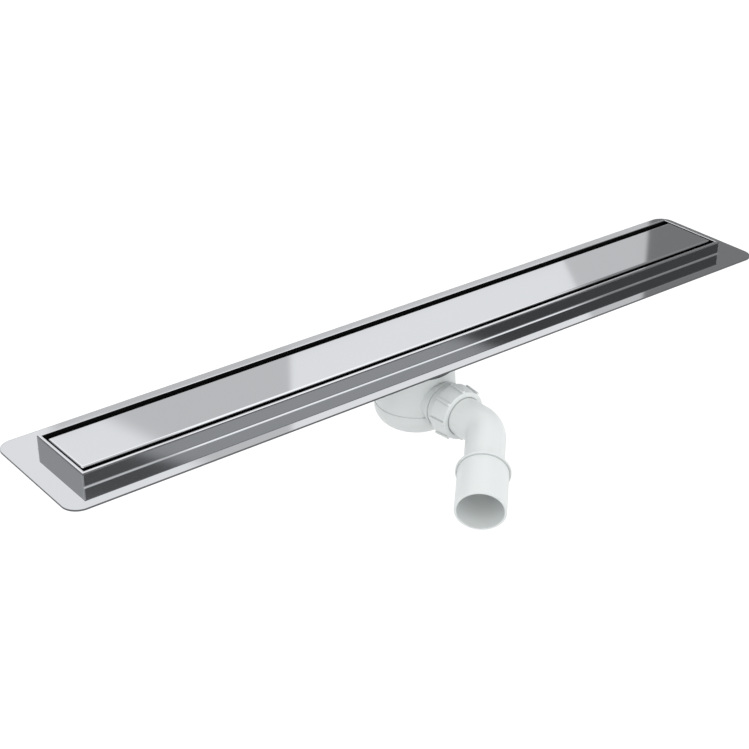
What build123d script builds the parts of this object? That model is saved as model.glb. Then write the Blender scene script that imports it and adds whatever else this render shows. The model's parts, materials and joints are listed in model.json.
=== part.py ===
from build123d import *

import math
import os

# A linear shower drain: a stainless channel with a sealing flange and a lift-out cover, over a plastic trap.
# +X runs along the channel, -Y is the side that the outlet leaves by, and +Z is up.
# The origin is the middle of the channel, in the plane of the flange's underside. Sizes are in millimetres.

# Stainless flange, upstand and rim
SHEET = 1.6
RIM_LENGTH = 808.0
RIM_WIDTH = 83.5
UPSTAND = 14.4
FLANGE_MARGIN_END = 29.0
FLANGE_MARGIN_SIDE = 30.0
FLANGE_CORNER = 16.0
FOLD_RADIUS = 1.4
RIM_FLAT = 0.2
LIP_EDGE = 0.6

# Trough that hangs in the frame, with a floor that falls to the outlet
TROUGH_DROP = 22.0
TROUGH_FALL = 4.0
TROUGH_FOLD = 3.0
OUTLET_FLAT = 96.0

# Cover, its brackets and their pads
COVER_SHEET = 1.5
COVER_SINK = 0.4
COVER_SKIRT = 10.0
COVER_FOLD = 2.2
SIDE_GAP = 7.2
END_GAP = 1.2
COVER_SHIFT = 0.7
SUPPORT_COUNT = 4
SUPPORT_DEPTH = 26.0
SUPPORT_SHEET = 1.5
SUPPORT_WEB = 34.0
SUPPORT_FOOT = 9.0
PAD_THICK = 2.0
PAD_EDGE = 0.8

# Waste ring that clamps the trough's floor to the trap
FLOOR_GASKET = 1.5
WASTE_EDGE_GAP = 1.05
WASTE_FLANGE_THICK = 3.0
WASTE_LIP = 5.7
WASTE_TAIL = 22.0
WASTE_WALL = 3.6
WASTE_SEAT = 1.6
WASTE_BEVEL = 1.2
TRAP_GASKET = 2.4
TRAP_GASKET_INSET = 0.2

# Lift-out dip tube and hair strainer
DIP_RIM_WIDTH = 2.2
DIP_RIM_THICK = 2.5
DIP_COLLAR = 15.0
DIP_STEP = 3.2
DIP_WALL = 2.0
DIP_CLEAR_BELOW = 9.0
STRAINER_THICK = 1.5
STRAINER_INSET = 0.8
STRAINER_SKIRT = 8.0
STRAINER_HOLE_R = 2.0
STRAINER_PITCH = 6.0
KNOB_R = 4.5
KNOB_HEIGHT = 9.0

# Trap: upper body, lower cup and the seal between them
BODY_SHOULDER = 10.7
BODY_FLARE = 2.7
BODY_HEIGHT = 40.8
BODY_ROOF = 4.0
BODY_WALL = 3.3
THREAD_WALL = 3.4
TONGUE_WALL = 2.8
TONGUE_LENGTH = 4.8
CUP_LEDGE = 1.0
CUP_DEPTH = 26.2
CUP_WALL = 3.0
CUP_ROUND = 23.0
SEAM_CHAMFER = 0.6

# Outlet spigot and its union
SPIGOT_DROP = 28.4
COLLAR_R = 24.2
COLLAR_GAP = 0.8
COLLAR_THICK = 3.0
NECK_WALL = 4.0
NECK_FLOOR = 3.0
SPIGOT_WALL = 3.0
SOCKET_FLOOR = 5.0
SOCKET_DEPTH = 14.0
SEAL_LENGTH = 5.4
NUT_LENGTH = 19.0
NUT_BACK_R = 27.2
NUT_FRONT_R = 25.4
NUT_FRONT_WALL = 3.0
NUT_BEVEL = 0.8
NUT_HOLE_GAP = 0.4
NUT_RIBS = 8
NUT_RIB_BACK_R = 29.0
NUT_RIB_FRONT_R = 27.8
NUT_RIB_WIDTH = 2.8
WASHER_THICK = 1.6

# Bend and sleeve
PIPE_R = 20.0
PIPE_WALL = 2.2
KNEE_REACH = 34.2
BEND_RADIUS = 32.0
BEND_ANGLE = 45.0
OUTLET_SWIVEL = 17.4
SLEEVE_R = 25.0
SLEEVE_WALL = 2.3
SLEEVE_START = 59.9
SLEEVE_LENGTH = 53.5
SLEEVE_WEB = 6.0
SLEEVE_RING_R = 27.0
SLEEVE_RING = 2.0
MOUTH_EDGE = 0.6

# Seals and fits
CORD = 1.9
GROOVE = 2.4
FIT = 0.1

# Heights and lengths that follow from the sizes above
RIM_TOP = SHEET + UPSTAND
UPSTAND_TOP = RIM_TOP - SHEET
RIM_EDGE = SHEET - RIM_FLAT
WALL_OUT = RIM_WIDTH / 2
WALL_IN = WALL_OUT - SHEET
FOLD_EDGE = WALL_OUT + FOLD_RADIUS + SHEET
TROUGH_LENGTH = RIM_LENGTH - 2 * SHEET
OPENING_LENGTH = TROUGH_LENGTH - 2 * SHEET
OPENING_WIDTH = RIM_WIDTH - 4 * SHEET
TROUGH_BOTTOM = -TROUGH_DROP
FLOOR = TROUGH_BOTTOM + SHEET

COVER_LENGTH = OPENING_LENGTH - 2 * END_GAP
COVER_WIDTH = OPENING_WIDTH - 2 * SIDE_GAP
COVER_TOP = RIM_TOP - COVER_SINK
COVER_UNDER = COVER_TOP - COVER_SHEET
SUPPORT_SPACING = COVER_LENGTH / SUPPORT_COUNT

WASTE_FLANGE_R = WALL_IN - SHEET - TROUGH_FOLD - WASTE_EDGE_GAP
WASTE_TAIL_R = WASTE_FLANGE_R - WASTE_LIP
WASTE_BORE_R = WASTE_TAIL_R - WASTE_WALL
WASTE_TOP = FLOOR + FLOOR_GASKET + WASTE_FLANGE_THICK
SEAT = WASTE_TOP - WASTE_SEAT
DIP_COLLAR_R = WASTE_BORE_R - 2 * FIT
DIP_RIM_R = WASTE_BORE_R + DIP_RIM_WIDTH
DIP_TUBE_R = WASTE_BORE_R - DIP_STEP
DIP_TOP = SEAT + DIP_RIM_THICK

BODY_TOP_R = WASTE_TAIL_R + BODY_SHOULDER
BODY_SEAM_R = BODY_TOP_R + BODY_FLARE
CUP_R = BODY_SEAM_R + CUP_LEDGE
BODY_TOP = TROUGH_BOTTOM - TRAP_GASKET
SEAM = BODY_TOP - BODY_HEIGHT
CUP_BOTTOM = SEAM - CUP_DEPTH
CUP_BORE_R = CUP_R - CUP_WALL
TONGUE_R = CUP_BORE_R - FIT
SPIGOT_Z = BODY_TOP - SPIGOT_DROP
COLLAR_BACK = CUP_R + COLLAR_GAP
COLLAR_FRONT = COLLAR_BACK + COLLAR_THICK
SOCKET_STOP = COLLAR_FRONT + SOCKET_FLOOR
SPIGOT_REACH = SOCKET_STOP + SOCKET_DEPTH
WASHER_BACK = SPIGOT_REACH + SEAL_LENGTH
NUT_END = WASHER_BACK + WASHER_THICK + NUT_FRONT_WALL
NUT_START = NUT_END - NUT_LENGTH
KNEE = NUT_END + KNEE_REACH
NECK_BORE_R = PIPE_R - PIPE_WALL
SOCKET_R = PIPE_R + FIT
SPIGOT_R = SOCKET_R + SPIGOT_WALL
NUT_BORE_R = SPIGOT_R + FIT

# Frames: Z of the spigot frame is the flow, counted from the trap's axis, and the outlet turns about it.
SPIGOT_FRAME = Plane(origin=(0, 0, SPIGOT_Z), x_dir=(1, 0, 0), z_dir=(0, -1, 0)).location
OUTLET_FRAME = SPIGOT_FRAME * Rot(0, 0, 180 + OUTLET_SWIVEL)
SLEEVE_FRAME = OUTLET_FRAME * Pos(0, 0, KNEE) * Rot(0, BEND_ANGLE, 0)

STANDING = (Align.CENTER, Align.CENTER, Align.MIN)
HANGING = (Align.CENTER, Align.CENTER, Align.MAX)


def turned(*points):
    """A body of revolution about Z from the (radius, height) points of its half section."""
    return revolve(Plane.XZ * make_face(Polyline(*points, close=True)), Axis.Z)


def ring(inner, outer, low, high):
    """A plain ring about Z."""
    return turned((inner, low), (outer, low), (outer, high), (inner, high))


def rod(radius, low, high):
    """A plain round bar about Z."""
    return Pos(0, 0, low) * Cylinder(radius, high - low, align=STANDING)


def cord_groove(shaft_r, height):
    """The groove of a round seal in a shaft or, by its depth, the ring of space that the seal lies in."""
    return ring(shaft_r - CORD, shaft_r, height - GROOVE / 2, height + GROOVE / 2)


def round_seal(shaft_r, gap, height):
    """A round seal that lies in a shaft's groove and fills it out to the bore."""
    cord_r = (CORD + gap) / 2 - FIT / 2
    return Pos(0, 0, height) * Torus(shaft_r - CORD + FIT / 2 + cord_r, cord_r)


def folded_side():
    """One long side of the flange, folded up into the upstand."""
    section = make_face(
        Polyline(
            (WALL_IN, UPSTAND_TOP),
            (WALL_IN, 0),
            (FOLD_EDGE, 0),
            (FOLD_EDGE, SHEET),
            (WALL_OUT, SHEET),
            (WALL_OUT, UPSTAND_TOP),
            close=True,
        )
    )
    section = fillet(section.vertices().sort_by_distance((WALL_IN, 0))[0], FOLD_RADIUS + SHEET)
    section = fillet(section.vertices().sort_by_distance((WALL_OUT, SHEET))[0], FOLD_RADIUS)
    return extrude(Plane.YZ * section, RIM_LENGTH / 2, both=True)


def flange_frame():
    """The flange with its rounded corners and its two folded long sides."""
    length = RIM_LENGTH + 2 * FLANGE_MARGIN_END
    width = RIM_WIDTH + 2 * FLANGE_MARGIN_SIDE
    plate = RectangleRounded(length, width, FLANGE_CORNER) - Rectangle(RIM_LENGTH, 2 * FOLD_EDGE)
    side = folded_side()
    return extrude(plate, SHEET) + side + mirror(side, about=Plane.XZ)


def end_strip(end):
    """The flat strip that closes the upstand at one end, -1 or 1."""
    strip = Box(SHEET, 2 * WALL_IN, UPSTAND_TOP, align=STANDING)
    return Pos(end * (RIM_LENGTH - SHEET) / 2, 0, 0) * strip


def trough_prism(inset):
    """The trough's outside, or its hollow where the inset is the sheet."""
    half = TROUGH_LENGTH / 2 - inset
    low = TROUGH_BOTTOM + inset
    high = low + TROUGH_FALL
    side_view = make_face(
        Polyline(
            (-half, RIM_TOP),
            (half, RIM_TOP),
            (half, high),
            (OUTLET_FLAT / 2, low),
            (-OUTLET_FLAT / 2, low),
            (-half, high),
            close=True,
        )
    )
    prism = extrude(Plane.XZ * side_view, WALL_IN - inset, both=True)
    near_floor = prism.edges().filter_by(lambda edge: edge.center().Z < high - TROUGH_FALL / 4)
    folds = near_floor.filter_by(lambda edge: abs(edge.center().Y) > (WALL_IN - inset) / 2)
    return fillet(folds, TROUGH_FOLD + SHEET - inset)


def channel_trough():
    """The folded trough, with the lip that turns over the upstand and the hole for the waste ring."""
    opening = Rectangle(OPENING_LENGTH, OPENING_WIDTH)
    lip = extrude(Rectangle(RIM_LENGTH, RIM_WIDTH) - opening, SHEET)
    trough = trough_prism(0) - trough_prism(SHEET) + Pos(0, 0, UPSTAND_TOP) * lip
    trough -= rod(WASTE_TAIL_R + FIT, TROUGH_BOTTOM - SHEET, FLOOR + SHEET)
    rim = trough.faces().sort_by(Axis.Z)[-1]
    trough = fillet(rim.outer_wire().edges(), RIM_EDGE)
    rim = trough.faces().sort_by(Axis.Z)[-1]
    return fillet(rim.inner_wires()[0].edges(), LIP_EDGE)


def cover_block(inset):
    """The cover's outside, or its hollow where the inset is the sheet."""
    block = Box(COVER_LENGTH - 2 * inset, COVER_WIDTH - 2 * inset, COVER_SKIRT, align=HANGING)
    block = fillet(block.edges().filter_by(Axis.Z), COVER_FOLD - inset)
    block = fillet(block.faces().sort_by(Axis.Z)[-1].edges(), COVER_FOLD - inset)
    return Pos(COVER_SHIFT, 0, COVER_TOP - inset) * block


def cover_plate():
    """The cover: a sheet with its four edges folded down."""
    return cover_block(0) - cover_block(COVER_SHEET)


def support_places():
    """The X of each bracket under the cover."""
    first = -(SUPPORT_COUNT - 1) / 2
    return [COVER_SHIFT + (first + index) * SUPPORT_SPACING for index in range(SUPPORT_COUNT)]


def foot_height(place):
    """The height of a bracket's feet: the highest floor under them, and the pad."""
    reach = max(abs(place) + SUPPORT_DEPTH / 2 - OUTLET_FLAT / 2, 0)
    fall = TROUGH_FALL / (TROUGH_LENGTH / 2 - OUTLET_FLAT / 2)
    return FLOOR + reach * fall + PAD_THICK


def cover_support(place):
    """A folded bracket: a web under the cover, two legs and two feet turned outwards."""
    foot = foot_height(place)
    leg = SUPPORT_WEB / 2
    toe = leg + SUPPORT_FOOT
    half = [(leg, COVER_UNDER), (leg, foot + SUPPORT_SHEET), (toe, foot + SUPPORT_SHEET), (toe, foot)]
    inner = leg - SUPPORT_SHEET
    half += [(inner, foot), (inner, COVER_UNDER - SUPPORT_SHEET)]
    outline = half + [(-y, z) for y, z in reversed(half)]
    section = make_face(Polyline(*outline, close=True))
    return Pos(place, 0, 0) * extrude(Plane.YZ * section, SUPPORT_DEPTH / 2, both=True)


def support_pad(place, side):
    """The pad under one foot of a bracket, on the front side, -1, or the rear side, 1."""
    foot = foot_height(place)
    inner = SUPPORT_WEB / 2 - SUPPORT_SHEET + PAD_EDGE
    outer = SUPPORT_WEB / 2 + SUPPORT_FOOT - PAD_EDGE
    depth = PAD_THICK + TROUGH_FALL
    block = Box(SUPPORT_DEPTH - 2 * PAD_EDGE, outer - inner, depth, align=HANGING)
    return Pos(place, side * (inner + outer) / 2, foot) * block & trough_prism(SHEET)


def floor_gasket():
    """The flat seal under the waste ring."""
    return ring(WASTE_TAIL_R + FIT, WASTE_FLANGE_R, FLOOR, FLOOR + FLOOR_GASKET)


def waste_flange():
    """The clamping ring: a flange in the trough, a seat for the dip tube and a tail into the trap."""
    under = FLOOR + FLOOR_GASKET
    return turned(
        (WASTE_BORE_R, under - WASTE_TAIL),
        (WASTE_TAIL_R, under - WASTE_TAIL),
        (WASTE_TAIL_R, under),
        (WASTE_FLANGE_R, under),
        (WASTE_FLANGE_R, WASTE_TOP - WASTE_BEVEL),
        (WASTE_FLANGE_R - WASTE_BEVEL, WASTE_TOP),
        (DIP_RIM_R + FIT, WASTE_TOP),
        (DIP_RIM_R + FIT, SEAT),
        (WASTE_BORE_R, SEAT),
    )


def trap_gasket():
    """The thick seal between the trough and the trap."""
    return ring(WASTE_TAIL_R + FIT, BODY_TOP_R - TRAP_GASKET_INSET, BODY_TOP, TROUGH_BOTTOM)


def dip_tube():
    """The lift-out tube: a rim on the seat, a collar with a seal groove and a tube into the cup."""
    bore = DIP_TUBE_R - DIP_WALL
    shoulder = SEAT - DIP_COLLAR
    tube = turned(
        (bore, CUP_BOTTOM + CUP_WALL + DIP_CLEAR_BELOW),
        (DIP_TUBE_R, CUP_BOTTOM + CUP_WALL + DIP_CLEAR_BELOW),
        (DIP_TUBE_R, shoulder - (DIP_COLLAR_R - DIP_TUBE_R)),
        (DIP_COLLAR_R, shoulder),
        (DIP_COLLAR_R, SEAT),
        (DIP_RIM_R, SEAT),
        (DIP_RIM_R, DIP_TOP),
        (bore, DIP_TOP),
    )
    return tube - cord_groove(DIP_COLLAR_R, SEAT - DIP_COLLAR / 2)


def dip_tube_oring():
    """The seal between the dip tube and the waste ring."""
    return round_seal(DIP_COLLAR_R, WASTE_BORE_R - DIP_COLLAR_R, SEAT - DIP_COLLAR / 2)


def hair_strainer():
    """The perforated disc that hangs in the dip tube's mouth, with a knob to lift it by."""
    bore = DIP_TUBE_R - DIP_WALL - FIT
    disc = rod(DIP_RIM_R - STRAINER_INSET, DIP_TOP, DIP_TOP + STRAINER_THICK)
    skirt = ring(bore - STRAINER_THICK, bore, DIP_TOP - STRAINER_SKIRT, DIP_TOP)
    knob = rod(KNOB_R, DIP_TOP + STRAINER_THICK, DIP_TOP + STRAINER_THICK + KNOB_HEIGHT)
    knob = fillet(knob.edges().sort_by(Axis.Z)[-1], KNOB_R / 3)
    disc = disc + skirt + knob
    hole = rod(STRAINER_HOLE_R, DIP_TOP, DIP_TOP + STRAINER_THICK)
    first_circle = KNOB_R + STRAINER_HOLE_R + STRAINER_THICK
    circles = int((bore - STRAINER_THICK - STRAINER_HOLE_R - first_circle) / STRAINER_PITCH) + 1
    for circle in range(circles):
        radius = first_circle + circle * STRAINER_PITCH
        count = int(2 * math.pi * radius / STRAINER_PITCH)
        disc -= [place * hole for place in PolarLocations(radius, count)]
    return disc


def trap_body():
    """The upper body: a roof with the thread for the waste ring, a neck, a collar and the outlet spigot."""
    tongue_bore = TONGUE_R - TONGUE_WALL
    thread_end = FLOOR + FLOOR_GASKET - WASTE_TAIL
    thread_r = WASTE_TAIL_R + FIT + THREAD_WALL
    cavity_top = BODY_TOP - BODY_ROOF
    body = turned((0, SEAM), (BODY_SEAM_R, SEAM), (BODY_TOP_R, BODY_TOP), (0, BODY_TOP))
    body += ring(tongue_bore, TONGUE_R, SEAM - TONGUE_LENGTH, SEAM)
    above_seam = Pos(0, 0, SEAM) * Box(2 * NUT_END, 2 * NUT_END, BODY_HEIGHT, align=STANDING)
    body += SPIGOT_FRAME * rod(NECK_BORE_R + NECK_WALL, 0, COLLAR_BACK) & above_seam
    body += SPIGOT_FRAME * rod(COLLAR_R, COLLAR_BACK, COLLAR_FRONT)
    body += SPIGOT_FRAME * rod(SPIGOT_R, COLLAR_BACK, SPIGOT_REACH)
    body -= turned(
        (0, SEAM - TONGUE_LENGTH),
        (tongue_bore, SEAM - TONGUE_LENGTH),
        (tongue_bore, SEAM),
        (BODY_TOP_R - BODY_WALL, cavity_top),
        (thread_r, cavity_top),
        (thread_r, thread_end),
        (0, thread_end),
    )
    body -= rod(WASTE_TAIL_R + FIT, thread_end, BODY_TOP)
    body -= SPIGOT_FRAME * rod(NECK_BORE_R, thread_r, COLLAR_FRONT) & Pos(0, 0, NECK_FLOOR) * above_seam
    body -= SPIGOT_FRAME * rod(NECK_BORE_R, COLLAR_FRONT, SOCKET_STOP)
    body -= SPIGOT_FRAME * rod(SOCKET_R, SOCKET_STOP, SPIGOT_REACH)
    return body - cord_groove(TONGUE_R, SEAM - TONGUE_LENGTH / 2)


def trap_cup():
    """The lower cup, rounded in to a flat bottom."""
    outside = rod(CUP_R, CUP_BOTTOM, SEAM)
    outside = fillet(outside.edges().sort_by(Axis.Z)[0], CUP_ROUND)
    outside = chamfer(outside.edges().sort_by(Axis.Z)[-1], SEAM_CHAMFER)
    hollow = rod(CUP_BORE_R, CUP_BOTTOM + CUP_WALL, SEAM)
    return outside - fillet(hollow.edges().sort_by(Axis.Z)[0], CUP_ROUND - CUP_WALL)


def cup_oring():
    """The seal between the trap's body and its cup."""
    return round_seal(TONGUE_R, CUP_BORE_R - TONGUE_R, SEAM - TONGUE_LENGTH / 2)


def union_nut():
    """The union nut: a ribbed band that narrows to the front and a wall round the pipe."""
    wall_back = NUT_END - NUT_FRONT_WALL
    bevel_back = NUT_END - NUT_BEVEL
    nut = turned(
        (NUT_BORE_R, NUT_START),
        (NUT_BACK_R, NUT_START),
        (NUT_FRONT_R, bevel_back),
        (NUT_FRONT_R - NUT_BEVEL, NUT_END),
        (PIPE_R + NUT_HOLE_GAP, NUT_END),
        (PIPE_R + NUT_HOLE_GAP, wall_back),
        (NUT_BORE_R, wall_back),
    )
    root_r = (NUT_BORE_R + NUT_FRONT_R) / 2
    crown = turned(
        (root_r, NUT_START),
        (NUT_RIB_BACK_R, NUT_START),
        (NUT_RIB_FRONT_R, bevel_back),
        (root_r, bevel_back),
    )
    bar = Box(NUT_RIB_BACK_R, NUT_RIB_WIDTH, NUT_END, align=(Align.MIN, Align.CENTER, Align.MIN))
    rib = crown & bar
    nut += [place * rib for place in PolarLocations(0, NUT_RIBS)]
    return SPIGOT_FRAME * nut


def friction_washer():
    """The washer that lets the nut turn on the seal."""
    return SPIGOT_FRAME * ring(PIPE_R + FIT, SPIGOT_R, WASHER_BACK, WASHER_BACK + WASHER_THICK)


def cone_seal():
    """The tapered seal between the spigot's mouth, the pipe and the washer."""
    seal = turned(
        (PIPE_R + FIT, SPIGOT_REACH),
        (SPIGOT_R - SPIGOT_WALL / 2, SPIGOT_REACH),
        (SPIGOT_R, WASHER_BACK),
        (PIPE_R + FIT, WASHER_BACK),
    )
    return SPIGOT_FRAME * seal


def pipe(radius):
    """A bar along the bend's centre line, from its stop in the spigot to the inside of the sleeve."""
    turn = math.radians(BEND_ANGLE)
    run = SLEEVE_START + SLEEVE_WEB
    start = (0, 0, SOCKET_STOP + FIT)
    end = (run * math.sin(turn), 0, KNEE + run * math.cos(turn))
    route = FilletPolyline(start, (0, 0, KNEE), end, radius=BEND_RADIUS)
    return sweep(Plane(start) * Circle(radius), path=route)


def outlet_bend():
    """The bend, an open pipe."""
    return OUTLET_FRAME * (pipe(PIPE_R) - pipe(PIPE_R - PIPE_WALL))


def outlet_sleeve():
    """The sleeve: a web and a thin ring round the bend's end, and a plain spigot with an open mouth."""
    mouth = SLEEVE_START + SLEEVE_LENGTH
    bore = SLEEVE_R - SLEEVE_WALL
    sleeve = turned(
        (PIPE_R + FIT, SLEEVE_START),
        (SLEEVE_RING_R, SLEEVE_START),
        (SLEEVE_RING_R, SLEEVE_START + SLEEVE_RING),
        (SLEEVE_R, SLEEVE_START + SLEEVE_RING),
        (SLEEVE_R, mouth - MOUTH_EDGE),
        (SLEEVE_R - MOUTH_EDGE, mouth),
        (bore, mouth),
        (bore, SLEEVE_START + SLEEVE_WEB),
        (PIPE_R + FIT, SLEEVE_START + SLEEVE_WEB),
    )
    groove = SLEEVE_START + SLEEVE_WEB / 2
    sleeve -= ring(PIPE_R + FIT, PIPE_R + FIT + CORD, groove - GROOVE / 2, groove + GROOVE / 2)
    return SLEEVE_FRAME * sleeve


def sleeve_oring():
    """The seal between the bend and the sleeve."""
    cord_r = CORD / 2
    seal = Torus(PIPE_R + FIT / 2 + cord_r, cord_r)
    return SLEEVE_FRAME * Pos(0, 0, SLEEVE_START + SLEEVE_WEB / 2) * seal


def sub_parts():
    """Every piece of the drain, by the name of its node."""
    parts = {
        "flange_frame": flange_frame(),
        "end_strip_left": end_strip(-1),
        "end_strip_right": end_strip(1),
        "channel_trough": channel_trough(),
        "cover_plate": cover_plate(),
    }
    for number, place in enumerate(support_places(), start=1):
        parts[f"cover_support_{number}"] = cover_support(place)
        parts[f"support_pad_{number}_front"] = support_pad(place, -1)
        parts[f"support_pad_{number}_rear"] = support_pad(place, 1)
    makers = [
        floor_gasket,
        waste_flange,
        trap_gasket,
        dip_tube,
        dip_tube_oring,
        hair_strainer,
        trap_body,
        trap_cup,
        cup_oring,
        union_nut,
        friction_washer,
        cone_seal,
        outlet_bend,
        outlet_sleeve,
        sleeve_oring,
    ]
    for maker in makers:
        parts[maker.__name__] = maker()
    return parts


os.makedirs("parts", exist_ok=True)
for name, shape in sub_parts().items():
    export_step(shape, f"parts/{name}.step")
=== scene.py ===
"""Studio scene of a linear shower drain: a polished steel channel over a white plastic trap."""

import json
import logging
import math
from dataclasses import dataclass, replace
from enum import Enum
from typing import Any, Callable, Dict, Mapping, Optional, Sequence, Tuple, Union

import bmesh
import bpy
from mathutils import Euler, Matrix, Vector


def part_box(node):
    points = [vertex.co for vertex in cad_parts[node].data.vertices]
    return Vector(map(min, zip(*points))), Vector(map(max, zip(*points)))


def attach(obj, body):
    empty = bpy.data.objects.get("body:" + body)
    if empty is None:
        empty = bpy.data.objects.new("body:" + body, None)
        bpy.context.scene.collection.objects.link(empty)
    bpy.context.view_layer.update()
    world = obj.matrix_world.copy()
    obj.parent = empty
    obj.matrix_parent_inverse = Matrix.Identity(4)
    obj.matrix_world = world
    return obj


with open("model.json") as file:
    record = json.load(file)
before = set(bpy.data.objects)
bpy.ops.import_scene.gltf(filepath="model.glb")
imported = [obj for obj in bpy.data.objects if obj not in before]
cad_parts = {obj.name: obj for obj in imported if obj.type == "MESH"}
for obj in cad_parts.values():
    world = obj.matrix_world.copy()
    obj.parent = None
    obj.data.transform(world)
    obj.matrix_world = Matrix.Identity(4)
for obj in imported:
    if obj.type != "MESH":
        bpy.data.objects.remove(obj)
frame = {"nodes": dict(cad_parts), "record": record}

LOG = logging.getLogger("shower_drain")
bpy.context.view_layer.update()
BODY = "root"

Colour = Tuple[float, float, float]
Triple = Tuple[float, float, float]
Operand = Union["Value", float, Sequence[float]]
Sockets = Dict[Union[str, int], Operand]
Sight = Tuple[float, float]

CLOUD_DETAIL = 3.0
GRAIN_DETAIL = 2.0
QUARTER_TURN = 90.0
EDGE_SOFTNESS = 0.004

RIGHT_OF = (1.0, 0.0, 0.0)
LEFT_OF = (-1.0, 0.0, 0.0)
BEHIND = (0.0, 1.0, 0.0)
BEFORE = (0.0, -1.0, 0.0)
ABOVE = (0.0, 0.0, 1.0)
BELOW = (0.0, 0.0, -1.0)


def opaque(colour: Colour) -> Tuple[float, float, float, float]:
    """The colour with a full alpha."""
    return (*colour, 1.0)


def between(first: Operand, second: Operand, share: "Value") -> "Value":
    """A number that goes from the first to the second as the share goes from 0 to 1."""
    return first + (second - first) * share


class Value:
    """An output of a shader graph, with Python's operators for its maths."""

    def __init__(self, graph: "Graph", socket: bpy.types.NodeSocket) -> None:
        """Keep the socket and the graph that it belongs to."""
        self.graph = graph
        self.socket = socket

    def maths(self, operation: str, *operands: Operand) -> "Value":
        """Add a Math node.

        Args:
            operation: the node's operation, such as ADD.
            operands: the values of its sockets, in order.

        Returns:
            The node's result.
        """
        return self.graph.node("ShaderNodeMath", {"operation": operation}, dict(enumerate(operands)))

    def output(self, name: str) -> "Value":
        """Another output of the same node."""
        return Value(self.graph, self.socket.node.outputs[name])

    def __add__(self, other: Operand) -> "Value":
        """This value and another."""
        return self.maths("ADD", self, other)

    def __radd__(self, other: Operand) -> "Value":
        """Another value and this."""
        return self.maths("ADD", other, self)

    def __sub__(self, other: Operand) -> "Value":
        """This value less another."""
        return self.maths("SUBTRACT", self, other)

    def __rsub__(self, other: Operand) -> "Value":
        """Another value less this."""
        return self.maths("SUBTRACT", other, self)

    def __mul__(self, other: Operand) -> "Value":
        """This value times another."""
        return self.maths("MULTIPLY", self, other)

    def __rmul__(self, other: Operand) -> "Value":
        """Another value times this."""
        return self.maths("MULTIPLY", other, self)

    def __pow__(self, other: Operand) -> "Value":
        """This value to a power."""
        return self.maths("POWER", self, other)

    def __abs__(self) -> "Value":
        """This value without its sign."""
        return self.maths("ABSOLUTE", self)

    def at_least(self, other: Operand) -> "Value":
        """The larger of this value and another."""
        return self.maths("MAXIMUM", self, other)

    def at_most(self, other: Operand) -> "Value":
        """The smaller of this value and another."""
        return self.maths("MINIMUM", self, other)


class Graph:
    """The nodes of one material or of the world."""

    # A colour mix repeats the names of its sockets for each type of data, so they go by number.
    MIX_FACTOR = 0
    MIX_FIRST = 6
    MIX_SECOND = 7
    MIX_RESULT = 2

    def __init__(self, tree: bpy.types.NodeTree) -> None:
        """Start with an empty tree."""
        self.tree = tree
        self.tree.nodes.clear()

    def node(
        self,
        kind: str,
        settings: Optional[Mapping[str, Any]] = None,
        sockets: Optional[Sockets] = None,
        output: Union[str, int] = 0,
    ) -> Value:
        """Add a node that has an output.

        Args:
            kind: the node's type.
            settings: its own settings, which are set first.
            sockets: a value or a link for each input, by name or by number.
            output: the output to return.

        Returns:
            That output.
        """
        made = self.tree.nodes.new(kind)
        for name, setting in (settings or {}).items():
            setattr(made, name, setting)
        for key, operand in (sockets or {}).items():
            if isinstance(operand, Value):
                self.tree.links.new(operand.socket, made.inputs[key])
            else:
                made.inputs[key].default_value = operand
        return Value(self, made.outputs[output])

    def end(self, kind: str, surface: Value) -> None:
        """Close the graph.

        Args:
            kind: the type of its last node.
            surface: the shader that goes into it.
        """
        last = self.tree.nodes.new(kind)
        self.tree.links.new(surface.socket, last.inputs["Surface"])

    def step(self, value: Value, start: float, end: float) -> Value:
        """A smooth step.

        Args:
            value: what is compared.
            start: where the step is still 0.
            end: where it has come to 1.

        Returns:
            0 before the start and 1 after the end, which may be the lower of the two.
        """
        sockets = {"Value": value, "From Min": start, "From Max": end}
        return self.node("ShaderNodeMapRange", {"interpolation_type": "SMOOTHSTEP"}, sockets)

    def place(self, scale: Triple = (1.0, 1.0, 1.0)) -> Value:
        """The surface's own coordinates in metres, stretched for a pattern."""
        coordinates = self.node("ShaderNodeTexCoord", output="Object")
        return self.node("ShaderNodeMapping", None, {"Vector": coordinates, "Scale": scale})

    def axes(self, vector: Value) -> Tuple[Value, Value, Value]:
        """The X, Y and Z of a vector."""
        parts = self.node("ShaderNodeSeparateXYZ", None, {"Vector": vector})
        return parts.output("X"), parts.output("Y"), parts.output("Z")

    def along(self, vector: Value, direction: Sequence[float]) -> Value:
        """How far a vector reaches along a direction."""
        settings = {"operation": "DOT_PRODUCT"}
        return self.node("ShaderNodeVectorMath", settings, {0: vector, 1: tuple(direction)}, "Value")

    def noise(self, place: Value, scale: float, detail: float = CLOUD_DETAIL) -> Value:
        """Noise from 0 to 1 over the surface."""
        return self.node("ShaderNodeTexNoise", None, {"Vector": place, "Scale": scale, "Detail": detail})

    def mixed(self, factor: Operand, first: Operand, second: Operand) -> Value:
        """A blend of two colours.

        Args:
            factor: 0 for the first colour and 1 for the second.
            first: a colour.
            second: another.

        Returns:
            The blend.
        """
        sockets = {self.MIX_FACTOR: factor, self.MIX_FIRST: first, self.MIX_SECOND: second}
        return self.node("ShaderNodeMix", {"data_type": "RGBA"}, sockets, self.MIX_RESULT)

    def relief(self, height: Value) -> Value:
        """A normal for a relief whose height is in metres."""
        return self.node("ShaderNodeBump", None, {"Strength": 1.0, "Distance": 1.0, "Height": height})


def blank_material(name: str) -> Tuple[bpy.types.Material, Graph]:
    """Start a material.

    Args:
        name: its name.

    Returns:
        The material and its empty graph.
    """
    made = bpy.data.materials.new(name)
    made.use_nodes = True
    return made, Graph(made.node_tree)


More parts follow.
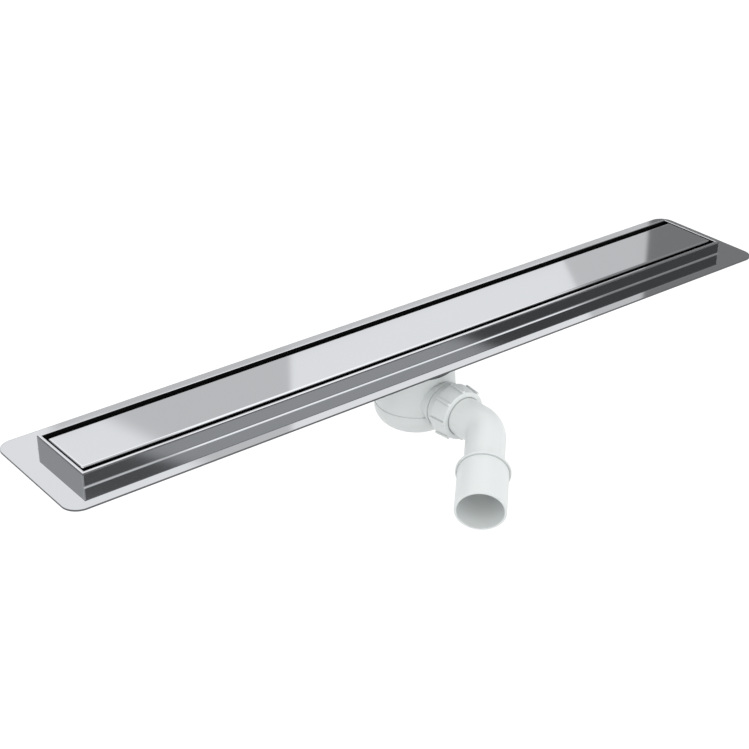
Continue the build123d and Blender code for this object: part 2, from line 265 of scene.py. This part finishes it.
def surfaced(name: str, build: Callable[[Graph], Sockets]) -> bpy.types.Material:
    """Make a material with one surface shader.

    Args:
        name: its name.
        build: gives the values and links of the shader's sockets.

    Returns:
        The material.
    """
    made, graph = blank_material(name)
    graph.end("ShaderNodeOutputMaterial", graph.node("ShaderNodeBsdfPrincipled", None, build(graph)))
    return made


@dataclass(frozen=True)
class PolishedSteel:
    """Stainless steel, mirror-polished with faint belt lines but left as milled where it faces down.

    The polish ends and the mill finish starts by how far the surface faces up, from -1 to 1.
    """

    name: str = "polished_steel"
    colour: Colour = (0.792, 0.804, 0.822)
    shade: Colour = (0.765, 0.777, 0.798)
    smoothest: float = 0.02
    roughest: float = 0.07
    line_pitch: float = 0.0012
    line_length: float = 0.16
    cloud_size: float = 0.12
    mill_colour: Colour = (0.46, 0.465, 0.475)
    mill_roughness: float = 0.36
    polish_end: float = -0.3
    mill_start: float = -0.6

    def look(self, graph: Graph) -> Tuple[Value, Value]:
        """Vary the steel over the surface, which is left unpolished where it faces down.

        Args:
            graph: the material's graph.

        Returns:
            The colour and the roughness.
        """
        stretch = (1 / self.line_length, 1 / self.line_pitch, 1 / self.line_pitch)
        lines = graph.noise(graph.place(stretch), 1.0)
        clouds = graph.noise(graph.place(), 1 / self.cloud_size)
        mill = graph.step(self.upward(graph), self.polish_end, self.mill_start)
        polished = graph.mixed(clouds, opaque(self.colour), opaque(self.shade))
        colour = graph.mixed(mill, polished, opaque(self.mill_colour))
        roughness = between(self.smoothest, self.roughest, lines * clouds)
        return colour, between(roughness, self.mill_roughness, mill)

    @staticmethod
    def upward(graph: Graph) -> Value:
        """How far the surface faces up, from -1 to 1."""
        return graph.along(graph.node("ShaderNodeNewGeometry", output="Normal"), ABOVE)

    def sockets(self, graph: Graph) -> Sockets:
        """The values and links of the shader's sockets."""
        colour, roughness = self.look(graph)
        return {"Base Color": colour, "Roughness": roughness, "Metallic": 1.0}


@dataclass(frozen=True, kw_only=True)
class CutEdgeSteel(PolishedSteel):
    """Polished sheet whose outer edge, a rounded rectangle, is rougher as cut and carries a painted dark
    reflection.
    """

    name: str = "cut_edge_steel"
    half_length: float
    half_width: float
    corner: float = 0.016
    edge_width: float = 0.0002
    painted_edge_reflection_colour: Colour = (0.13, 0.133, 0.14)
    edge_roughness: float = 0.45

    @classmethod
    def of_node(cls, name: str) -> "CutEdgeSteel":
        """The finish for a sheet of a CAD node's length and width."""
        _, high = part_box(name)
        return cls(half_length=high.x, half_width=high.y)

    def look(self, graph: Graph) -> Tuple[Value, Value]:
        """Vary the steel over the surface, with a rougher cut edge coloured dark, a painted dark reflection.

        Args:
            graph: the material's graph.

        Returns:
            The colour and the roughness.
        """
        colour, roughness = super().look(graph)
        x, y, _ = graph.axes(graph.place())
        past_x = (abs(x) - (self.half_length - self.corner)).at_least(0.0)
        past_y = (abs(y) - (self.half_width - self.corner)).at_least(0.0)
        reach = (past_x * past_x + past_y * past_y) ** 0.5
        # Painted dark reflection: the cut edge is coloured near black, standing in for the dark surroundings
        # it mirrors.
        edge = graph.step(reach, self.corner - 2 * self.edge_width, self.corner - self.edge_width)
        colour = graph.mixed(edge, colour, opaque(self.painted_edge_reflection_colour))
        return colour, between(roughness, self.edge_roughness, edge)


@dataclass(frozen=True, kw_only=True)
class TroughSteelPaintedShade(PolishedSteel):
    """Polished sheet folded into a trough, with painted shadow inside and a painted dark reflection in a
    band round its lip.

    The band of painted dark reflection starts and ends by the depth below the trough's top.
    """

    name: str = "trough_steel_painted_shade"
    half_length: float
    half_width: float
    top: float
    rim_width: float = 0.0032
    edge_width: float = 0.0001
    painted_inside_shadow_colour: Colour = (0.05, 0.05, 0.053)
    dull_roughness: float = 0.42
    lip_band_width: float = 0.0015
    lip_band_start: float = 0.00042
    lip_band_end: float = 0.0019
    painted_lip_reflection_colour: Colour = (0.24, 0.243, 0.25)
    lip_band_roughness: float = 0.25

    @classmethod
    def of_node(cls, name: str) -> "TroughSteelPaintedShade":
        """The finish for a trough of a CAD node's length, width and height."""
        _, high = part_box(name)
        return cls(half_length=high.x, half_width=high.y, top=high.z)

    def look(self, graph: Graph) -> Tuple[Value, Value]:
        """Vary the steel over the surface, with painted shadow inside and a painted dark reflection along
        the lip's outer edge.

        Args:
            graph: the material's graph.

        Returns:
            The colour and the roughness.
        """
        colour, roughness = super().look(graph)
        x, y, z = graph.axes(graph.place())
        inward = (self.half_length - abs(x)).at_most(self.half_width - abs(y))
        depth = self.top - z
        # Painted shadow: the inside of the trough is coloured near black, standing in for the shade that
        # fills it.
        inside = graph.step(inward, self.rim_width - self.edge_width, self.rim_width)
        inside = inside * graph.step(self.upward(graph), self.mill_start, self.polish_end)
        # Painted dark reflection: a band on the lip's outer rounding is coloured dark grey, standing in for
        # a darker wall that it would mirror.
        ground = graph.step(inward, self.lip_band_width, self.lip_band_width - self.edge_width)
        ground = ground * graph.step(depth, self.lip_band_start - self.edge_width, self.lip_band_start)
        ground = ground * graph.step(depth, self.lip_band_end, self.lip_band_end - self.edge_width)
        colour = graph.mixed(inside, colour, opaque(self.painted_inside_shadow_colour))
        colour = graph.mixed(ground, colour, opaque(self.painted_lip_reflection_colour))
        roughness = between(roughness, self.dull_roughness, inside)
        return colour, between(roughness, self.lip_band_roughness, ground)


@dataclass(frozen=True)
class MouldedPlastic:
    """Moulded plastic with faint flow clouds, a satin grain, a parting line and painted shade in its
    crevices.

    The painted crevice shade is full or gone by how open the surface is to the air, from 0 to 1.
    """

    name: str
    colour: Colour
    shade: Colour
    smoothest: float = 0.30
    roughest: float = 0.42
    cloud_size: float = 0.03
    grain_size: float = 0.0006
    grain_height: float = 0.000006
    parting_point: Triple = (0.0, 0.0, 0.0)
    parting_normal: Triple = (1.0, 0.0, 0.0)
    parting_width: float = 0.0003
    parting_height: float = 0.00012
    painted_crevice_shade_colour: Colour = (0.30, 0.32, 0.315)
    painted_shade_reach: float = 0.004
    painted_shade_full_at: float = 0.25
    painted_shade_gone_at: float = 0.85

    def sockets(self, graph: Graph) -> Sockets:
        """The values and links of the shader's sockets.

        Args:
            graph: the material's graph.

        Returns:
            A value or a link for each socket, by name.
        """
        place = graph.place()
        clouds = graph.noise(place, 1 / self.cloud_size)
        grain = graph.noise(place, 1 / self.grain_size, GRAIN_DETAIL)
        offset = Vector(self.parting_point).dot(Vector(self.parting_normal))
        distance = abs(graph.along(place, self.parting_normal) - offset)
        ridge = graph.step(distance, self.parting_width, 0.0)
        # Painted shade: the colour darkens where ambient occlusion finds the surface closed in, in crevices,
        # seams and beside ribs.
        openness = graph.node("ShaderNodeAmbientOcclusion", None, {"Distance": self.painted_shade_reach}, "AO")
        clear = graph.step(openness, self.painted_shade_full_at, self.painted_shade_gone_at)
        colour = graph.mixed(clouds, opaque(self.colour), opaque(self.shade))
        return {
            "Base Color": graph.mixed(clear, opaque(self.painted_crevice_shade_colour), colour),
            "Roughness": between(self.smoothest, self.roughest, clouds),
            "Normal": graph.relief(self.grain_height * grain + self.parting_height * ridge),
        }


@dataclass(frozen=True)
class SealRubber:
    """Matt moulded rubber with a dusty bloom."""

    name: str = "seal_rubber"
    colour: Colour = (0.055, 0.057, 0.06)
    bloom: Colour = (0.10, 0.102, 0.106)
    smoothest: float = 0.55
    roughest: float = 0.8
    cloud_size: float = 0.008
    grain_size: float = 0.0006
    grain_height: float = 0.00002

    def sockets(self, graph: Graph) -> Sockets:
        """The values and links of the shader's sockets.

        Args:
            graph: the material's graph.

        Returns:
            A value or a link for each socket, by name.
        """
        place = graph.place()
        clouds = graph.noise(place, 1 / self.cloud_size)
        grain = graph.noise(place, 1 / self.grain_size, GRAIN_DETAIL)
        return {
            "Base Color": graph.mixed(clouds, opaque(self.colour), opaque(self.bloom)),
            "Roughness": between(self.smoothest, self.roughest, clouds),
            "Normal": graph.relief(self.grain_height * grain),
        }


Finish = Union[PolishedSteel, MouldedPlastic, SealRubber]


class FinishShelf:
    """Makes each finish once, and dresses the pieces in it."""

    def __init__(self) -> None:
        """Start with no materials."""
        self.made: Dict[str, bpy.types.Material] = {}

    def dress(self, piece: bpy.types.Object, finish: Finish) -> None:
        """Dress a piece.

        Args:
            piece: a CAD node's object or a new piece.
            finish: what it is made of.
        """
        if finish.name not in self.made:
            self.made[finish.name] = surfaced(finish.name, finish.sockets)
        piece.data.materials.clear()
        piece.data.materials.append(self.made[finish.name])
        LOG.info("dressed %s in %s", piece.name, finish.name)

    def dress_nodes(self, names: Sequence[str], finish: Finish) -> None:
        """Dress several CAD nodes.

        Args:
            names: the nodes' names.
            finish: what they are made of.
        """
        for name in names:
            self.dress(frame["nodes"][name], finish)


STEEL = PolishedSteel()
FLANGE_STEEL = CutEdgeSteel.of_node("flange_frame")
TROUGH_STEEL = TroughSteelPaintedShade.of_node("channel_trough")
WHITE = MouldedPlastic("white_plastic", colour=(0.825, 0.855, 0.845), shade=(0.80, 0.83, 0.82))
GREY = MouldedPlastic("grey_plastic", colour=(0.52, 0.53, 0.54), shade=(0.48, 0.49, 0.50))
RUBBER = SealRubber()


class Side(Enum):
    """The two ends of the channel, by the sign of X."""

    LEFT = -1
    RIGHT = 1


class Face(Enum):
    """The two long sides of the channel, by the sign of Y."""

    FRONT = -1
    REAR = 1


def is_upright(direction: Vector) -> bool:
    """Whether a direction is nearer to the upright than to the level."""
    return abs(direction.z) > math.hypot(direction.x, direction.y)


def select_edges(piece: bpy.types.Object, chosen: Callable[[Vector], bool]) -> None:
    """Select edges of the piece in edit mode.

    Args:
        piece: the piece, which is in edit mode.
        chosen: tells from an edge's direction whether it is wanted.
    """
    mesh = bmesh.from_edit_mesh(piece.data)
    for edge in mesh.edges:
        first, second = edge.verts
        edge.select_set(chosen((second.co - first.co).normalized()))
    bmesh.update_edit_mesh(piece.data)


@dataclass
class SteelChannel:
    """The flange and its upstand, the trough, the cover and what carries the cover."""

    supports: int = 4
    sheet: float = 0.0016
    weld_size: float = 0.0016
    weld_proud: float = 0.00005
    weld_round: float = 0.0007
    weld_top_gap: float = 0.0018
    weld_segments: int = 5
    weld_smooth_angle: float = 30.0

    def build(self, shelf: FinishShelf) -> None:
        """Model the ground welds at the four corners of the upstand.

        Args:
            shelf: the finishes.
        """
        low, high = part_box("channel_trough")
        bottom, top = self.sheet, high.z - self.weld_top_gap
        inset = self.weld_size / 2 - self.weld_proud
        bpy.ops.object.select_all(action="DESELECT")
        bpy.ops.mesh.primitive_cube_add(
            size=1.0,
            location=(low.x + inset, low.y + inset, (bottom + top) / 2),
            scale=(self.weld_size, self.weld_size, top - bottom),
        )
        weld = bpy.context.active_object
        bpy.ops.object.transform_apply(location=True, rotation=True, scale=True)
        bpy.ops.object.mode_set(mode="EDIT")
        bpy.ops.mesh.select_mode(type="EDGE")
        bpy.ops.mesh.select_all(action="DESELECT")
        select_edges(weld, is_upright)
        bpy.ops.mesh.bevel(offset=self.weld_round, segments=self.weld_segments)
        bpy.ops.object.mode_set(mode="OBJECT")
        bpy.ops.object.shade_smooth_by_angle(angle=math.radians(self.weld_smooth_angle))
        half = (high - low) / 2
        for side in Side:
            for face in Face:
                name = f"corner_weld_{side.name.lower()}_{face.name.lower()}"
                move = ((1 + side.value) * (half.x - inset), (1 + face.value) * (half.y - inset), 0.0)
                self._place_weld(weld, name, move, shelf)
        bpy.data.objects.remove(weld)

    @staticmethod
    def _place_weld(weld: bpy.types.Object, name: str, move: Triple, shelf: FinishShelf) -> None:
        """Copy the first weld to a corner.

        Args:
            weld: the weld at the left front corner.
            name: the copy's name.
            move: how far the copy is moved.
            shelf: the finishes.
        """
        bpy.ops.object.select_all(action="DESELECT")
        weld.select_set(True)
        bpy.context.view_layer.objects.active = weld
        bpy.ops.object.duplicate()
        copy = bpy.context.active_object
        copy.name = name
        bpy.ops.transform.translate(value=move)
        bpy.ops.object.transform_apply(location=True, rotation=False, scale=False)
        shelf.dress(copy, STEEL)
        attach(copy, BODY)

    def dress(self, shelf: FinishShelf) -> None:
        """Dress the channel's nodes.

        Args:
            shelf: the finishes.
        """
        numbers = range(1, self.supports + 1)
        shelf.dress_nodes(["flange_frame"], FLANGE_STEEL)
        shelf.dress_nodes(["channel_trough"], TROUGH_STEEL)
        shelf.dress_nodes(["cover_plate"], STEEL)
        shelf.dress_nodes([f"end_strip_{side.name.lower()}" for side in Side], STEEL)
        shelf.dress_nodes([f"cover_support_{number}" for number in numbers], STEEL)
        for face in Face:
            shelf.dress_nodes([f"support_pad_{number}_{face.name.lower()}" for number in numbers], RUBBER)


@dataclass
class Trap:
    """The trap under the channel, with its seals and what lifts out of it."""

    mouldings: Tuple[str, ...] = ("waste_flange", "trap_body", "trap_cup")
    inserts: Tuple[str, ...] = ("dip_tube", "hair_strainer")
    seals: Tuple[str, ...] = ("floor_gasket", "trap_gasket", "dip_tube_oring", "cup_oring")

    def dress(self, shelf: FinishShelf) -> None:
        """Dress the trap's nodes.

        Args:
            shelf: the finishes.
        """
        shelf.dress_nodes(self.mouldings, WHITE)
        shelf.dress_nodes(self.inserts, GREY)
        shelf.dress_nodes(self.seals, RUBBER)


@dataclass
class Outlet:
    """The union, the bend and the sleeve."""

    flow: Triple = (0.0, -1.0, 0.0)
    pipes: Tuple[str, ...] = ("outlet_bend", "outlet_sleeve")
    seals: Tuple[str, ...] = ("cone_seal", "sleeve_oring")

    def pipe_plastic(self) -> MouldedPlastic:
        """Give the white plastic its parting line in the plane of the bend.

        Returns:
            The finish of the pipes.
        """
        mount = next(mount for mount in frame["record"]["mounts"] if mount["name"] == "waste_spigot")
        normal = Vector(self.flow).cross(Vector(mount["axis"])).normalized()
        return replace(
            WHITE,
            name="white_pipe_plastic",
            parting_point=tuple(mount["pos_m"]),
            parting_normal=tuple(normal),
        )

    def dress(self, shelf: FinishShelf) -> None:
        """Dress the outlet's nodes.

        Args:
            shelf: the finishes.
        """
        shelf.dress_nodes(self.pipes, self.pipe_plastic())
        shelf.dress_nodes(["union_nut"], WHITE)
        shelf.dress_nodes(["friction_washer"], GREY)
        shelf.dress_nodes(self.seals, RUBBER)


def sight(heading: float, height: float = 0.0) -> Vector:
    """A direction from the object.

    Args:
        heading: its angle about the upright axis, from +X, in degrees.
        height: its angle above the horizon, in degrees.

    Returns:
        The direction, one metre long.
    """
    turn, rise = math.radians(heading), math.radians(height)
    return Vector((math.cos(turn) * math.cos(rise), math.sin(turn) * math.cos(rise), math.sin(rise)))


@dataclass(frozen=True)
class Limit:
    """One side of a mirrored wall: the wall lies where a direction reaches past it.

    The reach is measured on a direction one metre long, and the edge fades over its softness to each side.
    """

    toward: Triple
    reach: float = 0.0
    soft: float = EDGE_SOFTNESS

    @classmethod
    def past(cls, heading: float, soft: float = EDGE_SOFTNESS) -> "Limit":
        """The side of an upright edge where the heading is larger."""
        return cls(tuple(sight(heading + QUARTER_TURN)), 0.0, soft)

    @classmethod
    def before(cls, heading: float, soft: float = EDGE_SOFTNESS) -> "Limit":
        """The side of an upright edge where the heading is smaller."""
        return cls(tuple(sight(heading - QUARTER_TURN)), 0.0, soft)

    @classmethod
    def over(cls, first: Sight, second: Sight, soft: float = EDGE_SOFTNESS) -> "Limit":
        """The upper side of a sloping edge.

        Args:
            first: the heading and the height of one sight of the edge, in degrees.
            second: those of another sight, at a larger heading.
            soft: how far the edge fades to each side.

        Returns:
            The limit.
        """
        return cls(tuple(sight(*first).cross(sight(*second)).normalized()), 0.0, soft)

    @classmethod
    def under(cls, first: Sight, second: Sight, soft: float = EDGE_SOFTNESS) -> "Limit":
        """The lower side of a sloping edge, whose sights are given as for the upper side."""
        return cls(tuple(-Vector(cls.over(first, second, soft).toward)), 0.0, soft)

    def passed(self, graph: Graph, direction: Value) -> Value:
        """How far a direction is past the limit, from 0 to 1 over its soft edge."""
        past = graph.along(direction, self.toward)
        return graph.step(past, self.reach - self.soft, self.reach + self.soft)


@dataclass(frozen=True)
class StudioWall:
    """A wall or a panel of the studio, as bright as its level, that the steel mirrors between its limits."""

    level: float
    limits: Tuple[Limit, ...]

    def shown(self, graph: Graph, direction: Value) -> Value:
        """How much of the wall shows in a direction, from 0 to 1."""
        return math.prod(limit.passed(graph, direction) for limit in self.limits)


SCREEN_LEVEL = 0.61
FRONT_SEAM = -58.0
FRONT_WALL_START = Limit.past(-78.0, 0.02)
FRONT_WALL_END = Limit.before(-33.0)
WALL_TOP = Limit(BELOW, -0.537, 0.01)
WALL_FOOT = Limit(ABOVE, 0.30, 0.02)
ZENITH = (Limit(ABOVE, 0.925, 0.02), Limit(LEFT_OF, -0.28, 0.03))

CEILING = StudioWall(1.20, (Limit(ABOVE, 0.60, 0.05),))
CEILING_SHADE = StudioWall(
    0.64,
    (
        Limit(ABOVE, 0.55, 0.01),
        Limit(LEFT_OF, -0.43, 0.012),
        Limit(RIGHT_OF, 0.2, 0.05),
        Limit(BEFORE, -0.1, 0.1),
    ),
)
ZENITH_GLOW = StudioWall(0.86, ZENITH)
ZENITH_GREY = StudioWall(0.50, (*ZENITH, Limit(RIGHT_OF, 0.02, 0.30)))
REAR_RAIL = StudioWall(
    SCREEN_LEVEL,
    (
        Limit.under((90.0, 32.07), (180.0, 0.0), 0.003),
        Limit.over((90.0, 30.1), (180.0, 0.0), 0.01),
        Limit.before(65.0, 0.006),
    ),
)
REAR_SCREEN = StudioWall(
    SCREEN_LEVEL,
    (
        Limit.past(55.6, 0.0025),
        Limit.under((59.0, 31.2), (62.4, 29.5), 0.006),
        Limit(BEHIND),
    ),
)
RIGHT_SCREEN = StudioWall(SCREEN_LEVEL, (Limit.under((44.6, 25.0), (45.1, 24.2), 0.001), Limit(BEHIND)))
RIGHT_WALL = StudioWall(
    0.21,
    (Limit.before(42.1, 0.0015), Limit.past(15.0, 0.12), Limit(RIGHT_OF, 0.65, 0.02)),
)
RIGHT_WALL_TOP = StudioWall(0.27, (Limit(RIGHT_OF, 0.645, 0.015), Limit(ABOVE, 0.49, 0.03)))
FRONT_WALL_BASE = StudioWall(0.35, (FRONT_WALL_START, FRONT_WALL_END, WALL_TOP))
FRONT_WALL_LEFT = StudioWall(0.10, (FRONT_WALL_START, Limit.before(FRONT_SEAM), WALL_FOOT, WALL_TOP))
FRONT_WALL_RIGHT = StudioWall(0.07, (Limit.past(FRONT_SEAM), FRONT_WALL_END, WALL_FOOT, WALL_TOP))
FRONT_SCREEN = StudioWall(
    0.40,
    (
        Limit.under((-61.3, 30.7), (-57.8, 31.7)),
        Limit.over((-48.9, 26.9), (-44.9, 27.9)),
        WALL_FOOT,
        WALL_TOP,
    ),
)
REAR_WALL = StudioWall(0.39, (Limit.past(108.0, 0.03), Limit.before(142.0, 0.03), WALL_TOP))

# Each wall covers those that stand before it here.
STUDIO_WALLS = (
    CEILING,
    CEILING_SHADE,
    ZENITH_GLOW,
    ZENITH_GREY,
    REAR_RAIL,
    REAR_SCREEN,
    RIGHT_SCREEN,
    RIGHT_WALL,
    RIGHT_WALL_TOP,
    FRONT_WALL_BASE,
    FRONT_WALL_LEFT,
    FRONT_WALL_RIGHT,
    FRONT_SCREEN,
    REAR_WALL,
)


@dataclass
class Studio:
    """The floor, the light and the camera.

    The light of the horizon ends and that of the sky starts by the height of a direction, from 0 to 1.
    """

    floor_height: float = -0.55
    floor_size: float = 40.0
    floor_colour: Colour = (0.62, 0.62, 0.62)
    floor_shade: Colour = (0.60, 0.60, 0.60)
    floor_mottle: float = 3.0
    floor_lift: float = 0.50
    sky: float = 0.78
    sky_start: float = 0.8
    horizon: float = 1.42
    horizon_end: float = 0.2
    bright: float = 0.905
    backdrop: float = 1.0
    tint: Colour = (0.985, 0.992, 1.0)
    walls: Tuple[StudioWall, ...] = STUDIO_WALLS
    key_place: Triple = (-1.6, -1.9, 2.4)
    key_size: float = 2.4
    key_power: float = 12.0
    camera_place: Triple = (-0.9465, -1.1552, 0.7627)
    camera_heading: float = 37.70
    camera_drop: float = 28.20
    camera_roll: float = 0.11
    camera_lens: float = 79.42
    camera_reach: float = 100.0

    def build(self) -> None:
        """Set the whole studio up."""
        bpy.context.scene.view_settings.view_transform = "Standard"
        self.build_floor()
        self.build_world()
        self.build_key_light()
        self.build_camera()

    def build_floor(self) -> None:
        """Lay the floor, which is white to the camera and keeps the shadow."""
        bpy.ops.object.select_all(action="DESELECT")
        bpy.ops.mesh.primitive_plane_add(size=self.floor_size, location=(0.0, 0.0, self.floor_height))
        floor = bpy.context.active_object
        floor.name = "studio_floor"
        made, graph = blank_material("floor_paint")
        rays = graph.node("ShaderNodeLightPath")
        seen = rays.output("Is Camera Ray").at_least(rays.output("Is Glossy Ray"))
        mottle = graph.noise(graph.place(), self.floor_mottle)
        colour = graph.mixed(mottle, opaque(self.floor_colour), opaque(self.floor_shade))
        paint = graph.node("ShaderNodeBsdfDiffuse", None, {"Color": colour})
        lift = graph.node("ShaderNodeEmission", None, {"Strength": self.floor_lift * seen})
        graph.end("ShaderNodeOutputMaterial", graph.node("ShaderNodeAddShader", None, {0: paint, 1: lift}))
        floor.data.materials.append(made)

    def mirrored_light(self, graph: Graph) -> Operand:
        """Set up the light and dark walls that the steel mirrors.

        Args:
            graph: the world's graph.

        Returns:
            The light by direction.
        """
        direction = graph.node("ShaderNodeTexCoord", output="Generated")
        light: Operand = self.bright
        for wall in self.walls:
            light = between(light, wall.level, wall.shown(graph, direction))
        return light

    def soft_light(self, graph: Graph) -> Value:
        """The even light that falls on the object, a little stronger from the side than from above."""
        height = graph.along(graph.node("ShaderNodeTexCoord", output="Generated"), ABOVE)
        return between(self.horizon, self.sky, graph.step(height, self.horizon_end, self.sky_start))

    def build_world(self) -> None:
        """Light the scene evenly from all round, with walls for the steel to mirror and white behind."""
        world = bpy.data.worlds.new("studio")
        world.use_nodes = True
        graph = Graph(world.node_tree)
        rays = graph.node("ShaderNodeLightPath")
        level = between(self.soft_light(graph), self.mirrored_light(graph), rays.output("Is Glossy Ray"))
        level = between(level, self.backdrop, rays.output("Is Camera Ray"))
        light = graph.node("ShaderNodeBackground", None, {"Color": opaque(self.tint), "Strength": level})
        graph.end("ShaderNodeOutputWorld", light)
        bpy.context.scene.world = world

    def build_key_light(self) -> None:
        """Hang one large soft light over the left front."""
        lamp = bpy.data.lights.new("key_softbox", "AREA")
        lamp.size = self.key_size
        lamp.energy = self.key_power
        holder = bpy.data.objects.new("key_softbox", lamp)
        holder.location = self.key_place
        holder.rotation_euler = (-Vector(self.key_place)).to_track_quat("-Z", "Y").to_euler()
        holder.visible_glossy = False
        bpy.context.scene.collection.objects.link(holder)

    def build_camera(self) -> None:
        """Place the camera at the photograph's angle."""
        data = bpy.data.cameras.new("camera")
        data.lens = self.camera_lens
        data.clip_end = self.camera_reach
        holder = bpy.data.objects.new("camera", data)
        tilt = math.radians(QUARTER_TURN - self.camera_drop)
        turn = Euler((tilt, 0.0, math.radians(-self.camera_heading))).to_matrix()
        roll = Matrix.Rotation(math.radians(-self.camera_roll), 3, "Z")
        holder.matrix_world = Matrix.Translation(self.camera_place) @ (turn @ roll).to_4x4()
        bpy.context.scene.collection.objects.link(holder)
        bpy.context.scene.camera = holder


def main() -> None:
    """Dress the drain and set the studio up round it."""
    logging.basicConfig(level=logging.INFO, format="%(name)s: %(message)s")
    shelf = FinishShelf()
    channel = SteelChannel()
    channel.build(shelf)
    channel.dress(shelf)
    Trap().dress(shelf)
    Outlet().dress(shelf)
    Studio().build()


if __name__ == "__main__":
    main()
